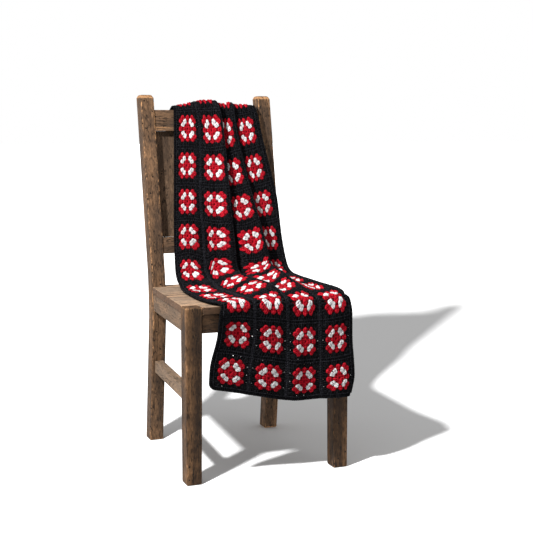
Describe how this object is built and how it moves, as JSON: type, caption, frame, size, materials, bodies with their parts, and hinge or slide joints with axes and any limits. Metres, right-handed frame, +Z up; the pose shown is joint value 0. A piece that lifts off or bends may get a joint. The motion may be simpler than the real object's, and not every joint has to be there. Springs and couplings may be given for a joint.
{
  "type": "granny square blanket draped over a rustic wooden chair",
  "caption": "Crocheted granny square throw with a black edging, draped over the back, seat and front edge of a plain rustic wooden side chair.",
  "frame": {"origin": "the middle of the whole part's base, on the floor under the chair", "axes": "+Z up through the chair's height, -Y towards the chair's front, +X to the right as seen from the front"},
  "size_m": [0.452, 0.5664, 0.982],
  "materials": {
    "black_yarn": "soft matt crocheted yarn",
    "dark_wood": "old dark brown timber, worn and unvarnished",
    "seat_wood": "dry, paler, worn timber"
  },
  "bodies": {
    "root": {"blanket": "black_yarn", "front_leg_left": "dark_wood", "front_leg_right": "dark_wood", "rear_post_left": "dark_wood", "rear_post_right": "dark_wood", "top_rail": "dark_wood", "lower_back_rail": "dark_wood", "back_panel": "dark_wood", "seat_panel": "seat_wood", "apron_front": "dark_wood", "apron_rear": "dark_wood", "apron_left": "dark_wood", "apron_right": "dark_wood", "stretcher_left": "dark_wood", "stretcher_right": "dark_wood"}
  },
  "joints": []
}
